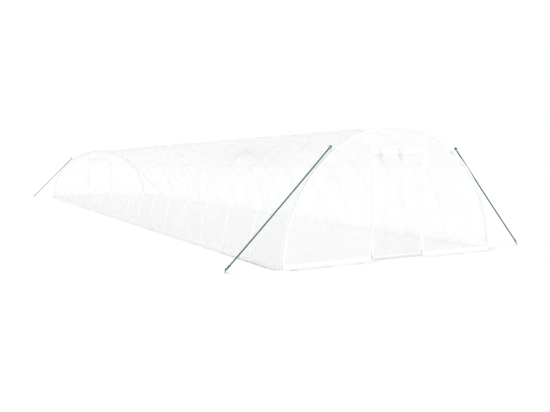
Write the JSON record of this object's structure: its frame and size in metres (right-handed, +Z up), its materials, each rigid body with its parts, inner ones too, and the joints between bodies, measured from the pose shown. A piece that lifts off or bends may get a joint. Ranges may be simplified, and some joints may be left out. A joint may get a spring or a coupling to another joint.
{
  "type": "tunnel greenhouse",
  "caption": "Walk-in tunnel greenhouse: translucent film over round steel hoops and base rails, a roll-up zipped door in each end, guy ropes and ground pegs.",
  "frame": {"origin": "on the ground under the middle of the ridge, which is the bottom centre of the bounding box", "axes": "+Y along the ridge from the front end to the back end, +Z up, +X to the right as seen by someone who faces the front door from outside"},
  "size_m": [5.5886, 20.327, 1.995],
  "materials": {
    "steel_tube": "galvanised steel tube, dull",
    "cover_film": "translucent white polyethylene film with a fine reinforcing grid",
    "guy_rope": "dark green twisted polyethylene rope",
    "ground_peg": "galvanised steel wire",
    "zip_slider": "dark grey moulded plastic",
    "tie_webbing": "dark grey woven tape"
  },
  "bodies": {
    "shell": {"back_end_panel": "cover_film", "back_left_brace": "steel_tube", "back_left_guy_rope": "guy_rope", "back_left_peg": "ground_peg", "back_left_post": "steel_tube", "back_lintel": "steel_tube", "back_right_brace": "steel_tube", "back_right_guy_rope": "guy_rope", "back_right_peg": "ground_peg", "back_right_post": "steel_tube", "back_sill": "steel_tube", "back_tie_strap": "tie_webbing", "front_end_panel": "cover_film", "front_left_brace": "steel_tube", "front_left_guy_rope": "guy_rope", "front_left_peg": "ground_peg", "front_left_post": "steel_tube", "front_lintel": "steel_tube", "front_right_brace": "steel_tube", "front_right_guy_rope": "guy_rope", "front_right_peg": "ground_peg", "front_right_post": "steel_tube", "front_sill": "steel_tube", "front_tie_strap": "tie_webbing", "hoop_01": "steel_tube", "hoop_02": "steel_tube", "hoop_03": "steel_tube", "hoop_04": "steel_tube", "hoop_05": "steel_tube", "hoop_06": "steel_tube", "hoop_07": "steel_tube", "hoop_08": "steel_tube", "hoop_09": "steel_tube", "hoop_10": "steel_tube", "hoop_11": "steel_tube", "hoop_12": "steel_tube", "hoop_13": "steel_tube", "hoop_14": "steel_tube", "hoop_15": "steel_tube", "hoop_16": "steel_tube", "hoop_17": "steel_tube", "hoop_18": "steel_tube", "hoop_19": "steel_tube", "hoop_20": "steel_tube", "hoop_21": "steel_tube", "left_base_rail": "steel_tube", "left_purlin": "steel_tube", "ridge_purlin": "steel_tube", "right_base_rail": "steel_tube", "right_purlin": "steel_tube", "roof_sheet": "cover_film"},
    "front_door": {"front_door_panel": "cover_film", "front_hem_bar": "steel_tube"},
    "back_door": {"back_door_panel": "cover_film", "back_hem_bar": "steel_tube"},
    "front_left_zip_slider": {"front_left_zip_slider": "zip_slider"},
    "front_right_zip_slider": {"front_right_zip_slider": "zip_slider"},
    "back_left_zip_slider": {"back_left_zip_slider": "zip_slider"},
    "back_right_zip_slider": {"back_right_zip_slider": "zip_slider"}
  },
  "joints": [
    {"name": "front_door_lift", "type": "slide", "parent": "shell", "child": "front_door", "axis": [0, 0, 1], "range_m": [0, 1.5], "deforming": ["front_door_panel"]},
    {"name": "back_door_lift", "type": "slide", "parent": "shell", "child": "back_door", "axis": [0, 0, 1], "range_m": [0, 1.5], "deforming": ["back_door_panel"]},
    {"name": "front_left_zip_slider_run", "type": "slide", "parent": "shell", "child": "front_left_zip_slider", "axis": [0, 0, 1], "range_m": [0, 1.5]},
    {"name": "front_right_zip_slider_run", "type": "slide", "parent": "shell", "child": "front_right_zip_slider", "axis": [0, 0, 1], "range_m": [0, 1.5]},
    {"name": "back_left_zip_slider_run", "type": "slide", "parent": "shell", "child": "back_left_zip_slider", "axis": [0, 0, 1], "range_m": [0, 1.5]},
    {"name": "back_right_zip_slider_run", "type": "slide", "parent": "shell", "child": "back_right_zip_slider", "axis": [0, 0, 1], "range_m": [0, 1.5]}
  ],
  "couplings": [
    {"joint": "front_left_zip_slider_run", "follows": "front_door_lift", "ratio": 1},
    {"joint": "front_right_zip_slider_run", "follows": "front_door_lift", "ratio": 1},
    {"joint": "back_left_zip_slider_run", "follows": "back_door_lift", "ratio": 1},
    {"joint": "back_right_zip_slider_run", "follows": "back_door_lift", "ratio": 1}
  ]
}
